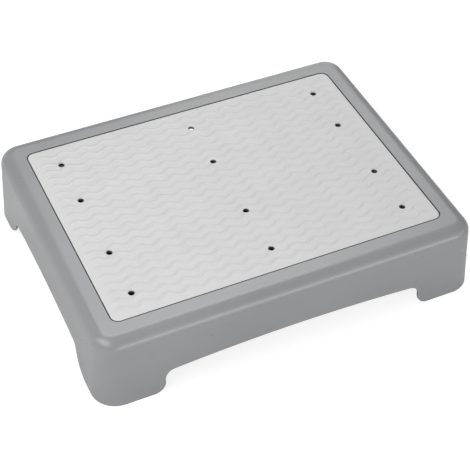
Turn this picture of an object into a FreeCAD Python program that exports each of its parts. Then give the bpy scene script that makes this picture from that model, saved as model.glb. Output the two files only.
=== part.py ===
import FreeCAD, Part
import math
import os

from FreeCAD import Vector

# A low free-standing half step for a caravan or camper door.
# One hollow moulded body on four corner feet, with an arch in each side, and a light tread mat
# with wave ribs that lies in a recess in the deck. Drain holes go through both.
# Millimetres. The origin is on the ground under the middle, +X along the long side, -Y to the front.

# Body, outside
STEP_LENGTH = 505.0          # over the feet, left to right
STEP_DEPTH = 394.0           # over the feet, front to back
DECK_HEIGHT = 100.0          # ground to the rim of the deck
CORNER_RADIUS = 32.0         # plan corner, at the ground
WALL_DRAFT = 3.8             # degrees that each wall leans in towards the deck
EDGE_RADIUS = 17.0           # rounding between deck and walls

# Body, moulding
WALL = 2.5                   # thickness of walls, rim and deck
END_RIM_WIDTH = 29.0         # recess to the line where deck and end wall would meet, unrounded
LONG_RIM_WIDTH = 31.0        # the same along the front and the back
RECESS_DEPTH = 2.0           # rim down to the floor of the recess
RECESS_RADIUS = 11.0         # plan corner of the recess

# Arches in the front and the back
LONG_ARCH_HALF_WIDTH = 169.0
LONG_ARCH_FOOT_RADIUS = 15.0
LONG_ARCH_CORNER_RADIUS = 13.0
LONG_ARCH_END_RISE = 31.0
LONG_ARCH_CROWN = 6.8        # how much higher the arch is in its middle than at its ends

# Arches in the two ends
END_ARCH_HALF_WIDTH = 112.0
END_ARCH_FOOT_RADIUS = 37.0
END_ARCH_CORNER_RADIUS = 10.0
END_ARCH_END_RISE = 32.0
END_ARCH_CROWN = 4.7

# Stiffening ribs under the deck
RIB_THICKNESS = 2.4
RIB_DROP = 24.0              # below the underside of the recess

# Drain holes, three columns from left to right and four rows from front to back
DRAIN_DIAMETER = 8.0
DRAIN_INSET = 36.0           # edge of the mat to the outermost holes
DRAIN_INNER_ROW = 50.0       # middle line to the two inner rows

# Tread mat
MAT_CLEARANCE = 1.1          # all round, between mat and recess wall
MAT_THICKNESS = 1.7          # without its ribs
WAVE_RIB_WIDTH = 5.0
WAVE_RIB_HEIGHT = 0.7
WAVE_RIB_PITCH = 14.2        # one rib to the next, front to back
WAVE_LENGTH = 28.1           # one whole wave of a rib, left to right
WAVE_SWING = 3.4             # middle line of a rib to each of its turns
WAVE_SHIFT = -4.9            # where a rib turns at the back, nearest to the middle of the mat
MAT_PLAIN_MARGIN = 10.0       # free of ribs along every edge, at the least

# Slack that carries a cutting body past the face that it cuts
PAST = 5.0

# Sizes that follow from the ones above
LEAN = math.tan(math.radians(WALL_DRAFT))
RECESS_LENGTH = STEP_LENGTH - 2 * DECK_HEIGHT * LEAN - 2 * END_RIM_WIDTH
RECESS_WIDTH = STEP_DEPTH - 2 * DECK_HEIGHT * LEAN - 2 * LONG_RIM_WIDTH
RECESS_FLOOR = DECK_HEIGHT - RECESS_DEPTH
PAN_UNDERSIDE = RECESS_FLOOR - WALL
MAT_LENGTH = RECESS_LENGTH - 2 * MAT_CLEARANCE
MAT_WIDTH = RECESS_WIDTH - 2 * MAT_CLEARANCE
MAT_TOP = RECESS_FLOOR + MAT_THICKNESS
OUTER_COLUMN = MAT_LENGTH / 2 - DRAIN_INSET
OUTER_ROW = MAT_WIDTH / 2 - DRAIN_INSET
DRAIN_COLUMNS = [-OUTER_COLUMN, 0.0, OUTER_COLUMN]
DRAIN_ROWS = [-OUTER_ROW, -DRAIN_INNER_ROW, DRAIN_INNER_ROW, OUTER_ROW]


def line(start, end):
    return Part.LineSegment(start, end).toShape()


def arc(centre, start, end):
    """The short arc from start to end about centre."""
    radius = (start - centre).Length
    towards = (start - centre) + (end - centre)
    middle = centre + towards.normalize() * radius
    return Part.Arc(start, middle, end).toShape()


def rectangle(half_length, half_width, z):
    """A closed sharp-cornered rectangle, centred on the Z axis."""
    x, y = half_length, half_width
    corners = [Vector(-x, -y, z), Vector(x, -y, z), Vector(x, y, z), Vector(-x, y, z)]
    return Part.makePolygon(corners + corners[:1])


def rounded_plate(length, width, radius, z, thickness):
    """A flat plate with round plan corners, its underside at z."""
    plate = Part.makeBox(length, width, thickness, Vector(-length / 2, -width / 2, z))
    upright = [edge for edge in plate.Edges if edge.BoundBox.ZLength > thickness / 2]
    return plate.makeFillet(radius, upright)


def drafted_block(inset, bottom, top, edge_radius):
    """The body's outer form between two heights, each wall moved in by inset, the upper edge rounded."""
    radius = CORNER_RADIUS - inset - bottom * LEAN
    top_radius = CORNER_RADIUS - inset - top * LEAN
    x = STEP_LENGTH / 2 - CORNER_RADIUS
    y = STEP_DEPTH / 2 - CORNER_RADIUS
    across = Part.makeLoft([rectangle(x, y + radius, bottom), rectangle(x, y + top_radius, top)], True, True)
    along = Part.makeLoft([rectangle(x + radius, y, bottom), rectangle(x + top_radius, y, top)], True, True)
    corners = []
    for side in (-1, 1):
        for end in (-1, 1):
            corners.append(Part.makeCone(radius, top_radius, top - bottom, Vector(side * x, end * y, bottom)))
    block = across.fuse([along] + corners).removeSplitter()
    rim = [edge for edge in block.Edges if edge.BoundBox.ZMin > top - PAST]
    return block.makeFillet(edge_radius, rim)


def corner_centre(half_width, foot_radius, foot_centre, corner_radius, crown_radius, crown_centre):
    """The centre of the arc that rounds an arch's upper corner, between its crown and its side."""
    reach = crown_radius - corner_radius
    x = half_width - corner_radius
    centre = crown_centre + Vector(x, 0, math.sqrt(reach ** 2 - x ** 2))
    if centre.z >= foot_radius:
        return centre
    # The foot's round reaches the crown, so the arc touches two circles
    between = foot_centre - crown_centre
    foot_reach = foot_radius + corner_radius
    along = (reach ** 2 - foot_reach ** 2 + between.Length ** 2) / (2 * between.Length)
    aside = math.sqrt(reach ** 2 - along ** 2)
    direction = Vector(between).normalize()
    return crown_centre + direction * along + Vector(-direction.z, 0, direction.x) * aside


def arch_opening(half_width, foot_radius, corner_radius, end_rise, crown, reach):
    """The space under an arch, crossing the body along Y: crowned above, and flared where it meets the ground."""
    crown_radius = (half_width ** 2 + crown ** 2) / (2 * crown)
    crown_centre = Vector(0, 0, end_rise + crown - crown_radius)
    foot_centre = Vector(half_width + foot_radius, 0, foot_radius)
    centre = corner_centre(half_width, foot_radius, foot_centre, corner_radius, crown_radius, crown_centre)
    ground = Vector(foot_centre.x, 0, 0)
    below = Vector(foot_centre.x, 0, -PAST)
    crown_end = centre + (centre - crown_centre).normalize() * corner_radius
    edges = [line(Vector(0, 0, -PAST), below), line(below, ground)]
    if centre.z > foot_radius:
        side_foot = Vector(half_width, 0, foot_radius)
        side_top = Vector(half_width, 0, centre.z)
        edges += [arc(foot_centre, ground, side_foot), line(side_foot, side_top)]
    else:
        side_top = centre + (foot_centre - centre).normalize() * corner_radius
        edges.append(arc(foot_centre, ground, side_top))
    edges.append(arc(centre, side_top, crown_end))
    edges.append(arc(crown_centre, crown_end, Vector(0, 0, end_rise + crown)))
    right = Part.Wire(edges)
    left = right.mirror(Vector(0, 0, 0), Vector(1, 0, 0))
    outline = Part.Wire(Part.sortEdges(right.Edges + left.Edges)[0])
    opening = Part.Face(outline).extrude(Vector(0, 2 * reach, 0))
    opening.translate(Vector(0, -reach, 0))
    return opening


def midway(places):
    """The places halfway between neighbours."""
    return [(a + b) / 2 for a, b in zip(places, places[1:])]


def stiffening_ribs():
    """Bars under the deck, midway between the drain holes, as long and as wide as the whole body."""
    bottom = PAN_UNDERSIDE - RIB_DROP
    height = RECESS_FLOOR - bottom
    half = RIB_THICKNESS / 2
    bars = []
    for x in midway(DRAIN_COLUMNS):
        bars.append(Part.makeBox(RIB_THICKNESS, STEP_DEPTH, height, Vector(x - half, -STEP_DEPTH / 2, bottom)))
    for y in midway(DRAIN_ROWS):
        bars.append(Part.makeBox(STEP_LENGTH, RIB_THICKNESS, height, Vector(-STEP_LENGTH / 2, y - half, bottom)))
    return bars


def drains(bottom, top):
    """A round bar for each drain hole."""
    bars = []
    for x in DRAIN_COLUMNS:
        for y in DRAIN_ROWS:
            bars.append(Part.makeCylinder(DRAIN_DIAMETER / 2, top - bottom, Vector(x, y, bottom)))
    return bars


def make_step_body():
    outside = drafted_block(0, 0, DECK_HEIGHT, EDGE_RADIUS)
    hollow = drafted_block(WALL, -PAST, DECK_HEIGHT - WALL, EDGE_RADIUS - WALL)
    pan = rounded_plate(RECESS_LENGTH + 2 * WALL, RECESS_WIDTH + 2 * WALL, RECESS_RADIUS + WALL,
                        PAN_UNDERSIDE, WALL + RECESS_DEPTH)
    body = outside.cut(hollow.cut(pan))
    body = body.fuse([bar.common(outside) for bar in stiffening_ribs()])
    recess = rounded_plate(RECESS_LENGTH, RECESS_WIDTH, RECESS_RADIUS, RECESS_FLOOR, RECESS_DEPTH + PAST)
    long_arch = arch_opening(LONG_ARCH_HALF_WIDTH, LONG_ARCH_FOOT_RADIUS, LONG_ARCH_CORNER_RADIUS,
                             LONG_ARCH_END_RISE, LONG_ARCH_CROWN, STEP_DEPTH)
    end_arch = arch_opening(END_ARCH_HALF_WIDTH, END_ARCH_FOOT_RADIUS, END_ARCH_CORNER_RADIUS,
                            END_ARCH_END_RISE, END_ARCH_CROWN, STEP_LENGTH)
    end_arch.rotate(Vector(0, 0, 0), Vector(0, 0, 1), 90)
    return body.cut([recess, long_arch, end_arch] + drains(PAN_UNDERSIDE - PAST, DECK_HEIGHT)).removeSplitter()


def wave_turns():
    """The turns of a wave rib along the mat: the place in X, and the offset to the back or the front."""
    half_wave = WAVE_LENGTH / 2
    end = MAT_LENGTH / 2 - MAT_PLAIN_MARGIN
    first = math.floor((-end - WAVE_SHIFT) / half_wave)
    last = math.ceil((end - WAVE_SHIFT) / half_wave)
    turns = []
    for index in range(first, last + 1):
        offset = WAVE_SWING if index % 2 == 0 else -WAVE_SWING
        turns.append((WAVE_SHIFT + index * half_wave, offset))
    starting = (-end, offset_between(turns[0], turns[1], -end))
    ending = (end, offset_between(turns[-2], turns[-1], end))
    return [starting] + turns[1:-1] + [ending]


def offset_between(before, after, x):
    """The offset at x on the straight run between two turns."""
    share = (x - before[0]) / (after[0] - before[0])
    return before[1] + share * (after[1] - before[1])


def wave_rib(y):
    """One roof-shaped rib on the mat, about the line at y."""
    half = WAVE_RIB_WIDTH / 2
    sections = []
    for x, offset in wave_turns():
        front = Vector(x, y + offset - half, MAT_TOP)
        back = Vector(x, y + offset + half, MAT_TOP)
        ridge = Vector(x, y + offset, MAT_TOP + WAVE_RIB_HEIGHT)
        sections.append(Part.makePolygon([front, back, ridge, front]))
    return Part.makeLoft(sections, True, True)


def make_tread_mat():
    mat = rounded_plate(MAT_LENGTH, MAT_WIDTH, RECESS_RADIUS - MAT_CLEARANCE, RECESS_FLOOR, MAT_THICKNESS)
    room = MAT_WIDTH / 2 - MAT_PLAIN_MARGIN - WAVE_SWING - WAVE_RIB_WIDTH / 2
    each_way = math.floor(room / WAVE_RIB_PITCH)
    mat = mat.fuse([wave_rib(n * WAVE_RIB_PITCH) for n in range(-each_way, each_way + 1)])
    return mat.cut(drains(RECESS_FLOOR - PAST, DECK_HEIGHT + PAST)).removeSplitter()


os.makedirs("parts", exist_ok=True)
for name, shape in (("step_body", make_step_body()), ("tread_mat", make_tread_mat())):
    shape.exportStep("parts/" + name + ".step")
    print(name, "valid", shape.isValid(), "solids", len(shape.Solids), "faces", len(shape.Faces),
          "volume cm3", round(shape.Volume / 1000, 1), "box", shape.BoundBox)
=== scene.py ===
import math

import bmesh
import bpy
from mathutils import Matrix, Vector


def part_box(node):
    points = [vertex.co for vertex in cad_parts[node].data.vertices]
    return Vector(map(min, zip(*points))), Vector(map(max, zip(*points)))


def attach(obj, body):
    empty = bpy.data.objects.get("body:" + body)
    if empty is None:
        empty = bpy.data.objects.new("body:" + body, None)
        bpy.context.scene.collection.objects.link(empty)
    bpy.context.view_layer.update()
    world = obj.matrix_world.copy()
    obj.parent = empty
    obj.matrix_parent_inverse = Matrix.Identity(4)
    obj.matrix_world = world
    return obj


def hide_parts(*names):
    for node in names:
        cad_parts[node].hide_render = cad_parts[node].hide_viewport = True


# A half step on a pale floor: the moulded grey body, and the light tread mat in its deck.
# Metres, Z up, the front towards -Y.

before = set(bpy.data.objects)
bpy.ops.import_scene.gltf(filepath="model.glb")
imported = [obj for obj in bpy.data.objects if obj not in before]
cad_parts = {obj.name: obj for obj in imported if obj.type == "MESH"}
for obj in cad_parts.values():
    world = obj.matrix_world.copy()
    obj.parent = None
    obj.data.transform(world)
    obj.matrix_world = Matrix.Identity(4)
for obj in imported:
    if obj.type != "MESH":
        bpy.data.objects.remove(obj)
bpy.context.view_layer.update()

MM = 0.001

# Camera: lens and sensor in millimetres, as a camera has them
CAMERA_PLACE = Vector((-0.52393, -1.14910, 1.24889))
CAMERA_AIM = Vector((-0.00908, -0.03796, 0.05))
CAMERA_ROLL = math.radians(0.610)
CAMERA_LENS = 103.98
SENSOR_WIDTH = 36.0

# Floor: what lights the step, and what the camera sees of it in the open and in the painted shadow under
# the step
FLOOR_HALF_SIZE = 8.0
FLOOR_COLOR = (0.8, 0.8, 0.8)
OPEN_GREY, SHADOW_GREY = 0.35, 0.03
OPEN_GLOW, SHADOW_GLOW = 0.85, 0.0

# Painted shadow on the ground under the step: its bounds, and the width of its soft edge
SHADOW_LEFT, SHADOW_RIGHT = -0.204, 0.252
SHADOW_FRONT, SHADOW_BACK = -0.154, 0.190
SHADOW_EDGE = 0.008

# World: its faint light on the step, and the white that the camera sees
WORLD_FILL = 0.02
WORLD_WHITE = 1.0

# Softboxes: name, azimuth (0 in front, 90 to the right), elevation, distance, width, height, power
SOFTBOXES = [
    ("left_key", -76, 45, 2.1, 1.7, 1.2, 28.5),
    ("left_low", -108, 20, 4.0, 1.8, 1.2, 9),
    ("front_low", 14, 7, 4.0, 3.2, 0.85, 52),
    ("front_mid", 16, 24, 4.0, 2.4, 1.0, 11),
    ("right_low", 56, 12, 4.0, 2.4, 0.8, 20),
    ("back_low", 150, 14, 4.0, 1.8, 1.8, 16),
    ("back_right", 148, 40, 4.0, 1.6, 1.2, 14),
    ("back", 163, 46, 4.0, 1.7, 0.9, 8.5),
    ("back_high", 166, 61, 4.0, 2.6, 1.2, 48),
    ]

# Deck, and the seam in it: half length, half width and corner radius of the mat and of its recess
DECK_TOP = 100.0 * MM
DECK_UNDERSIDE = 95.5 * MM
MAT_CORNER = 9.9 * MM
MAT_OUTLINE = (215.75 * MM, 158.25 * MM, MAT_CORNER)
SEAM_GAP = 1.1 * MM
RECESS_OUTLINE = tuple(size + SEAM_GAP for size in MAT_OUTLINE)

# Tread mat
MAT_BASE = 1.7 * MM              # thickness without the ribs
MAT_EDGE_ROUND = 0.45 * MM
RIB_HALF_WIDTH = 2.6 * MM
RIB_HEIGHT = 0.7 * MM
RIB_ROUND = 0.2                  # share of a rib's half width that its crest rounds over, and each foot
RIB_PITCH = 14.25 * MM
RIBS_EACH_WAY = 10
RIB_END_MARGIN = 10.0 * MM
RIB_END_TAPER = 2.5 * MM
WAVE_LENGTH = 28.3 * MM
WAVE_SWING = 3.1 * MM
WAVE_SHIFT = -1.0 * MM
WAVE_FADE = 20.0 * MM            # length in which the grid's waves grow from nothing at the mat's ends
SHARP_ANGLE = math.radians(40)

# The grid of the mat's top: its rows as shares of a rib's half width, and of the strip past the last rib
GRID_MARGIN = 4.0 * MM           # from the edge of the mat to the grid
COLUMN_STEP = 1.9 * MM
RIB_ROWS = [-1, -0.9, -0.8, -0.5, -0.2, -0.1, 0, 0.1, 0.2, 0.5, 0.8, 0.9, 1]
OUTER_ROWS = [0.35, 0.7, 1]
HAIR = 0.001 * MM                # closer than this, two places are the same

# Turns at which a rounded edge has its corners, from its start to a right angle
QUARTER_ROUND = [math.pi * step / 6 for step in range(4)]

# Drain holes
HOLE_RADIUS = 4.0 * MM
HOLE_FLARE = 0.35 * MM
HOLE_COLUMNS = [-179.76 * MM, 0.0, 179.76 * MM]
HOLE_ROWS = [-122.26 * MM, -50.0 * MM, 50.0 * MM, 122.26 * MM]
HOLE_SIDES = 48
CUTTER_REACH = 3.0 * MM          # past the top and the underside of the mat

# Materials: each colour and roughness as one value, and the range that noise spreads it over
BODY_COLOR = (0.315, 0.318, 0.325)
BODY_COLOR_RANGE = ((0.307, 0.311, 0.318), (0.325, 0.329, 0.336))
BODY_ROUGHNESS = 0.28
BODY_ROUGHNESS_RANGE = (0.26, 0.31)
MAT_COLOR = (0.68, 0.68, 0.68)
MAT_COLOR_RANGE = ((0.67, 0.67, 0.67), (0.69, 0.69, 0.69))
MAT_ROUGHNESS = 0.43
MAT_ROUGHNESS_RANGE = (0.40, 0.46)
SKIN_DEPTH = 0.03 * MM
SKIN_STRENGTH = 0.2
NOISE_RANGE = (0.35, 0.65)       # most of a noise texture's values lie here

# Painted shade in the seam: its colour, and at each of its bounds where it starts and where it is full
SEAM_SHADE_COLOR = (0.015, 0.015, 0.016)
SEAM_SHADE_OUT_FROM_RECESS = (0.3 * MM, 0.1 * MM)
SEAM_SHADE_UNDER_TOP = (DECK_TOP, DECK_TOP - 0.3 * MM)
SEAM_SHADE_OVER_UNDERSIDE = (DECK_UNDERSIDE + 0.2 * MM, DECK_UNDERSIDE + 0.6 * MM)
SEAM_SHADE_OUT_FROM_MAT = (-0.6 * MM, -0.2 * MM)

# A colour Mix node has its colour sockets at these places
MIX_FACTOR, MIX_FIRST, MIX_SECOND, MIX_RESULT = 0, 6, 7, 2


def new_object(name, data):
    thing = bpy.data.objects.new(name, data)
    bpy.context.scene.collection.objects.link(thing)
    return thing


# Nodes

def place(tree):
    """Where a point lies on the object."""
    node = tree.nodes.get("Where") or tree.nodes.new("ShaderNodeTexCoord")
    node.name = "Where"
    return node.outputs["Object"]


def noise(tree, scale, detail, roughness=0.5):
    node = tree.nodes.new("ShaderNodeTexNoise")
    node.inputs["Scale"].default_value = scale
    node.inputs["Detail"].default_value = detail
    node.inputs["Roughness"].default_value = roughness
    tree.links.new(place(tree), node.inputs["Vector"])
    return node.outputs["Fac"]


def color_range(tree, source, low, high):
    """Noise as a colour between low and high."""
    node = tree.nodes.new("ShaderNodeValToRGB")
    for element, position, color in zip(node.color_ramp.elements, NOISE_RANGE, (low, high)):
        element.position = position
        element.color = (*color, 1)
    tree.links.new(source, node.inputs["Fac"])
    return node.outputs["Color"]


def spread(tree, source, low, high):
    """source, from 0 to 1, taken to the range from low to high."""
    node = tree.nodes.new("ShaderNodeMapRange")
    node.inputs["To Min"].default_value = low
    node.inputs["To Max"].default_value = high
    tree.links.new(source, node.inputs["Value"])
    return node.outputs["Result"]


def step_up(tree, source, low, high):
    """0 where source is at low or beyond, 1 where it is at high or beyond, and smooth between."""
    node = tree.nodes.new("ShaderNodeMapRange")
    node.interpolation_type = "SMOOTHSTEP"
    node.inputs["From Min"].default_value = low
    node.inputs["From Max"].default_value = high
    tree.links.new(source, node.inputs["Value"])
    return node.outputs["Result"]


def bump(tree, source):
    node = tree.nodes.new("ShaderNodeBump")
    node.inputs["Distance"].default_value = SKIN_DEPTH
    node.inputs["Strength"].default_value = SKIN_STRENGTH
    tree.links.new(source, node.inputs["Height"])
    return node.outputs["Normal"]


def number_math(tree, operation, source, other):
    """A source with another source or a number."""
    node = tree.nodes.new("ShaderNodeMath")
    node.operation = operation
    tree.links.new(source, node.inputs[0])
    if isinstance(other, float):
        node.inputs[1].default_value = other
    else:
        tree.links.new(other, node.inputs[1])
    return node.outputs[0]


def vector_math(tree, operation, source, other=None):
    """A source by itself or with a plain vector."""
    node = tree.nodes.new("ShaderNodeVectorMath")
    node.operation = operation
    tree.links.new(source, node.inputs[0])
    if other is not None:
        node.inputs[1].default_value = other
    return node.outputs["Value" if operation == "LENGTH" else "Vector"]


def along(tree, source, axis):
    """One coordinate of a vector."""
    node = tree.nodes.new("ShaderNodeSeparateXYZ")
    tree.links.new(source, node.inputs[0])
    return node.outputs[axis]


def outline_distance(tree, half_length, half_width, corner):
    """Distance out from a rounded rectangle round the origin, seen from above; less than 0 inside."""
    folded = vector_math(tree, "ABSOLUTE", place(tree))
    beyond = vector_math(tree, "SUBTRACT", folded, (half_length - corner, half_width - corner, 0))
    beyond = vector_math(tree, "MAXIMUM", beyond, (0, 0, 0))
    beyond = vector_math(tree, "MULTIPLY", beyond, (1, 1, 0))
    return number_math(tree, "SUBTRACT", vector_math(tree, "LENGTH", beyond), corner)


def outside_shadow(tree):
    """1 on the floor in the open, and 0 in the painted shadow on the ground under the step."""
    middle = ((SHADOW_LEFT + SHADOW_RIGHT) / 2, (SHADOW_FRONT + SHADOW_BACK) / 2, 0)
    half_length, half_width = (SHADOW_RIGHT - SHADOW_LEFT) / 2, (SHADOW_BACK - SHADOW_FRONT) / 2
    apart = vector_math(tree, "ABSOLUTE", vector_math(tree, "SUBTRACT", place(tree), middle))
    past_ends = step_up(tree, along(tree, apart, "X"), half_length - SHADOW_EDGE, half_length)
    past_sides = step_up(tree, along(tree, apart, "Y"), half_width - SHADOW_EDGE, half_width)
    return number_math(tree, "MAXIMUM", past_ends, past_sides)


def paint_seam_shade(tree, color, where_shaded):
    """A colour with the painted shade of the seam on it."""
    node = tree.nodes.new("ShaderNodeMix")
    node.data_type = "RGBA"
    tree.links.new(where_shaded, node.inputs[MIX_FACTOR])
    tree.links.new(color, node.inputs[MIX_FIRST])
    node.inputs[MIX_SECOND].default_value = (*SEAM_SHADE_COLOR, 1)
    return node.outputs[MIX_RESULT]


def camera_sees(tree, seen, otherwise):
    """One shader for the camera's own rays, and another for the light that falls on the step."""
    path = tree.nodes.new("ShaderNodeLightPath")
    mix = tree.nodes.new("ShaderNodeMixShader")
    tree.links.new(path.outputs["Is Camera Ray"], mix.inputs["Fac"])
    tree.links.new(otherwise, mix.inputs[1])
    tree.links.new(seen, mix.inputs[2])
    return mix.outputs[0]


# Materials

def start_material(name, color, roughness):
    material = bpy.data.materials.new(name)
    material.use_nodes = True
    shader = material.node_tree.nodes["Principled BSDF"]
    shader.inputs["Base Color"].default_value = (*color, 1)
    shader.inputs["Roughness"].default_value = roughness
    return material, material.node_tree, shader


def body_plastic():
    """Satin grey moulded plastic with a fine grain, faint flow clouds and painted shade in the seam."""
    material, tree, shader = start_material("body_plastic", BODY_COLOR, BODY_ROUGHNESS)
    clouds = noise(tree, scale=9, detail=3, roughness=0.6)
    patches = noise(tree, scale=160, detail=2)
    grain = noise(tree, scale=1400, detail=2)
    height = along(tree, place(tree), "Z")
    # Painted shade in the seam: the body turns near black inside the recess, below the deck top and above
    # the deck's underside.
    seam_shade = step_up(tree, outline_distance(tree, *RECESS_OUTLINE), *SEAM_SHADE_OUT_FROM_RECESS)
    seam_shade = number_math(tree, "MULTIPLY", seam_shade, step_up(tree, height, *SEAM_SHADE_UNDER_TOP))
    seam_shade = number_math(tree, "MULTIPLY", seam_shade, step_up(tree, height, *SEAM_SHADE_OVER_UNDERSIDE))
    color = paint_seam_shade(tree, color_range(tree, clouds, *BODY_COLOR_RANGE), seam_shade)
    tree.links.new(color, shader.inputs["Base Color"])
    tree.links.new(spread(tree, patches, *BODY_ROUGHNESS_RANGE), shader.inputs["Roughness"])
    tree.links.new(bump(tree, grain), shader.inputs["Normal"])
    return material


def mat_rubber():
    """Light matte rubber with a stippled skin, and painted shade on its sides."""
    material, tree, shader = start_material("mat_rubber", MAT_COLOR, MAT_ROUGHNESS)
    clouds = noise(tree, scale=14, detail=4, roughness=0.6)
    patches = noise(tree, scale=300, detail=2)
    stipple = noise(tree, scale=1100, detail=3)
    # Painted shade in the seam: the mat's sides and rounded edge turn near black.
    seam_shade = step_up(tree, outline_distance(tree, *MAT_OUTLINE), *SEAM_SHADE_OUT_FROM_MAT)
    color = paint_seam_shade(tree, color_range(tree, clouds, *MAT_COLOR_RANGE), seam_shade)
    tree.links.new(color, shader.inputs["Base Color"])
    tree.links.new(spread(tree, patches, *MAT_ROUGHNESS_RANGE), shader.inputs["Roughness"])
    tree.links.new(bump(tree, stipple), shader.inputs["Normal"])
    return material


# Meshes

def mesh_object(name, mesh):
    data = bpy.data.meshes.new(name)
    mesh.to_mesh(data)
    mesh.free()
    return new_object(name, data)


def bridge(mesh, first, second):
    for i in range(len(first)):
        mesh.faces.new((first[i - 1], second[i - 1], second[i], first[i]))


def clamp(value):
    return min(max(value, 0), 1)


def wave(x):
    """Offset of a rib to the back at x, and its slope."""
    turn = 2 * math.pi * (x - WAVE_SHIFT) / WAVE_LENGTH
    return WAVE_SWING * math.cos(turn), -WAVE_SWING * 2 * math.pi / WAVE_LENGTH * math.sin(turn)


def rib_height(x, share, half_length):
    """Height of a rib over the land at x, share of its half width from its middle line."""
    end = clamp((half_length - RIB_END_MARGIN - abs(x)) / RIB_END_TAPER)
    end = end * end * (3 - 2 * end)
    out = abs(share)
    steep = 1 / (1 - RIB_ROUND)
    if out < RIB_ROUND:
        across = 1 - steep * out ** 2 / (2 * RIB_ROUND)
    elif out > 1 - RIB_ROUND:
        across = steep * (1 - out) ** 2 / (2 * RIB_ROUND)
    else:
        across = 1 - steep * (out - RIB_ROUND / 2)
    return RIB_HEIGHT * end * across


def grid_rows(half_width):
    """Rows of the mat's grid, from front to back: a middle line, and on a rib the share out from it."""
    rows = []
    for n in range(-RIBS_EACH_WAY, RIBS_EACH_WAY + 1):
        rows += [(n * RIB_PITCH, share) for share in RIB_ROWS]
        if n < RIBS_EACH_WAY:
            rows.append(((n + 0.5) * RIB_PITCH, None))
    last_rib = RIBS_EACH_WAY * RIB_PITCH + RIB_HALF_WIDTH
    outer = [last_rib + share * (half_width - last_rib) for share in OUTER_ROWS]
    return [(-y, None) for y in reversed(outer)] + rows + [(y, None) for y in outer]


def grid_columns(half_length):
    count = math.ceil(2 * half_length / COLUMN_STEP)
    return [-half_length + 2 * half_length * i / count for i in range(count + 1)]


def make_grid(mesh, half_length, half_width, land):
    """The ribbed top of the mat but for its margin, as rows of corners."""
    inner_x, inner_y = half_length - GRID_MARGIN, half_width - GRID_MARGIN
    last_rib = RIBS_EACH_WAY * RIB_PITCH + RIB_HALF_WIDTH
    grid = []
    for middle, share in grid_rows(inner_y):
        calm = clamp((inner_y - abs(middle)) / (inner_y - last_rib))
        row = []
        for x in grid_columns(inner_x):
            offset, slope = wave(x)
            y = middle + calm * math.sqrt(clamp((inner_x - abs(x)) / WAVE_FADE)) * offset
            z = land
            if share is not None:
                y += share * RIB_HALF_WIDTH * math.sqrt(1 + slope ** 2)
                z += rib_height(x, share, half_length)
            row.append(mesh.verts.new((x, y, z)))
        grid.append(row)
    for front, back in zip(grid, grid[1:]):
        for i in range(len(front) - 1):
            mesh.faces.new((front[i], front[i + 1], back[i + 1], back[i]))
    return grid


def edge_place(start, half_length, half_width, grow):
    """Where a corner on the grid's border goes out to: the mat's rounded outline, grown by grow."""
    corner_x, corner_y = half_length - MAT_CORNER, half_width - MAT_CORNER
    x, y = abs(start.x), abs(start.y)
    if x > corner_x and y > corner_y:
        away = Vector((x - corner_x, y - corner_y)).normalized() * (MAT_CORNER + grow)
        x, y = corner_x + away.x, corner_y + away.y
    elif x > half_length - GRID_MARGIN - HAIR:
        x = half_length + grow
    else:
        y = half_width + grow
    return math.copysign(x, start.x), math.copysign(y, start.y)


def make_mat(low, high):
    """The mat: its ribbed top, then rings down its rounded edge, and a flat underside."""
    land = low.z + MAT_BASE
    mesh = bmesh.new()
    grid = make_grid(mesh, high.x, high.y, land)
    border = grid[0][:-1] + [row[-1] for row in grid[:-1]]
    border += grid[-1][:0:-1] + [row[0] for row in grid[:0:-1]]
    profile = [(-MAT_EDGE_ROUND * (1 - math.sin(turn)), land - MAT_EDGE_ROUND * (1 - math.cos(turn)))
               for turn in QUARTER_ROUND]
    profile.append((0, low.z))
    inner = border
    for grow, z in profile:
        outer = [mesh.verts.new((*edge_place(start.co, high.x, high.y, grow), z)) for start in border]
        bridge(mesh, inner, outer)
        inner = outer
    mesh.faces.new(inner[::-1])
    bmesh.ops.recalc_face_normals(mesh, faces=mesh.faces)
    return mesh_object("tread_mat_surface", mesh)


def circle(mesh, middle_x, middle_y, radius, z):
    turns = [2 * math.pi * i / HOLE_SIDES for i in range(HOLE_SIDES)]
    return [mesh.verts.new((middle_x + radius * math.cos(turn), middle_y + radius * math.sin(turn), z))
            for turn in turns]


def hole_cutters(bottom, land):
    """Round bars for the drain holes, each widening softly at the top of the mat."""
    profile = [(HOLE_RADIUS, bottom - CUTTER_REACH)]
    profile += [(HOLE_RADIUS + HOLE_FLARE * (1 - math.cos(turn)), land - HOLE_FLARE * (1 - math.sin(turn)))
                for turn in QUARTER_ROUND]
    profile.append((HOLE_RADIUS + HOLE_FLARE, land + CUTTER_REACH))
    mesh = bmesh.new()
    for hole_x in HOLE_COLUMNS:
        for hole_y in HOLE_ROWS:
            rings = [circle(mesh, hole_x, hole_y, radius, z) for radius, z in profile]
            for below, above in zip(rings, rings[1:]):
                bridge(mesh, above, below)
            mesh.faces.new(rings[0][::-1])
            mesh.faces.new(rings[-1])
    return mesh_object("hole_cutters", mesh)


def cut_away(thing, cutter):
    modifier = thing.modifiers.new("holes", "BOOLEAN")
    modifier.operation = "DIFFERENCE"
    modifier.solver = "EXACT"
    modifier.object = cutter
    graph = bpy.context.evaluated_depsgraph_get()
    cut = bpy.data.meshes.new_from_object(thing.evaluated_get(graph))
    thing.modifiers.clear()
    thing.data = cut
    bpy.data.objects.remove(cutter)


def smooth_shade(data):
    data.shade_smooth()
    data.set_sharp_from_angle(angle=SHARP_ANGLE)


# Floor, world, lamps and camera

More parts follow.
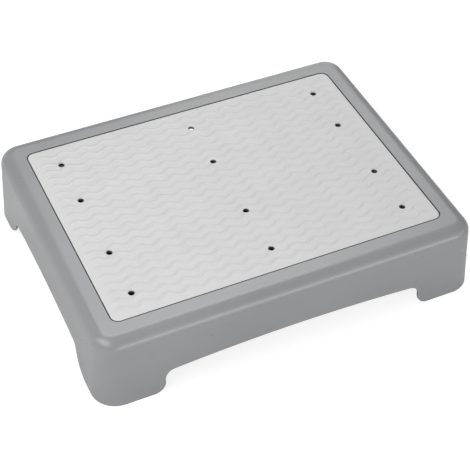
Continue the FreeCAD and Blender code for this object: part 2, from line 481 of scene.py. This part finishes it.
def make_floor():
    """A pale floor that the camera sees as near white, with the step's own soft shadow on it and a painted
    shadow on the ground under the step.
    """
    size = FLOOR_HALF_SIZE
    corners = [(-size, -size, 0), (size, -size, 0), (size, size, 0), (-size, size, 0)]
    data = bpy.data.meshes.new("floor")
    data.from_pydata(corners, [], [(0, 1, 2, 3)])
    floor = new_object("floor", data)
    material = bpy.data.materials.new("floor_paint")
    material.use_nodes = True
    tree = material.node_tree
    tree.nodes.clear()
    plain = tree.nodes.new("ShaderNodeBsdfDiffuse")
    plain.inputs["Color"].default_value = (*FLOOR_COLOR, 1)
    # Painted shadow: under the step the camera sees the ground near black and without glow.
    unshadowed = outside_shadow(tree)
    seen = tree.nodes.new("ShaderNodeBsdfDiffuse")
    tree.links.new(spread(tree, unshadowed, SHADOW_GREY, OPEN_GREY), seen.inputs["Color"])
    glow = tree.nodes.new("ShaderNodeEmission")
    tree.links.new(spread(tree, unshadowed, SHADOW_GLOW, OPEN_GLOW), glow.inputs["Strength"])
    both = tree.nodes.new("ShaderNodeAddShader")
    tree.links.new(seen.outputs[0], both.inputs[0])
    tree.links.new(glow.outputs[0], both.inputs[1])
    out = tree.nodes.new("ShaderNodeOutputMaterial")
    tree.links.new(camera_sees(tree, both.outputs[0], plain.outputs[0]), out.inputs["Surface"])
    data.materials.append(material)


def background(tree, strength):
    node = tree.nodes.new("ShaderNodeBackground")
    node.inputs["Color"].default_value = (1, 1, 1, 1)
    node.inputs["Strength"].default_value = strength
    return node.outputs[0]


def make_world():
    world = bpy.data.worlds.new("studio")
    bpy.context.scene.world = world
    world.use_nodes = True
    tree = world.node_tree
    tree.nodes.clear()
    white, fill = background(tree, WORLD_WHITE), background(tree, WORLD_FILL)
    out = tree.nodes.new("ShaderNodeOutputWorld")
    tree.links.new(camera_sees(tree, white, fill), out.inputs["Surface"])


def add_softbox(name, azimuth, elevation, distance, width, height, power):
    """A soft lamp aimed at the step."""
    a, e = math.radians(azimuth), math.radians(elevation)
    towards = Vector((math.sin(a) * math.cos(e), -math.cos(a) * math.cos(e), math.sin(e)))
    data = bpy.data.lights.new(name, "AREA")
    data.shape = "RECTANGLE"
    data.size, data.size_y = width, height
    data.energy = power
    lamp = new_object(name, data)
    lamp.location = towards * distance
    lamp.rotation_euler = towards.to_track_quat("Z", "Y").to_euler()


def make_camera():
    data = bpy.data.cameras.new("camera")
    data.lens = CAMERA_LENS
    data.sensor_width = SENSOR_WIDTH
    camera = new_object("camera", data)
    camera.location = CAMERA_PLACE
    level = (CAMERA_AIM - CAMERA_PLACE).to_track_quat("-Z", "Y").to_matrix()
    camera.rotation_euler = (level @ Matrix.Rotation(CAMERA_ROLL, 3, "Z")).to_euler()
    bpy.context.scene.camera = camera


# The step

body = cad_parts["step_body"]
body.material_slots[0].material = body_plastic()

mat_low, mat_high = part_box("tread_mat")
mat = make_mat(mat_low, mat_high)
cut_away(mat, hole_cutters(mat_low.z, mat_low.z + MAT_BASE))
smooth_shade(mat.data)
mat.data.materials.clear()
mat.data.materials.append(mat_rubber())
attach(mat, "root")
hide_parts("tread_mat")

# The studio

make_floor()
make_world()
make_camera()
for softbox in SOFTBOXES:
    add_softbox(*softbox)
bpy.context.scene.view_settings.view_transform = "Standard"
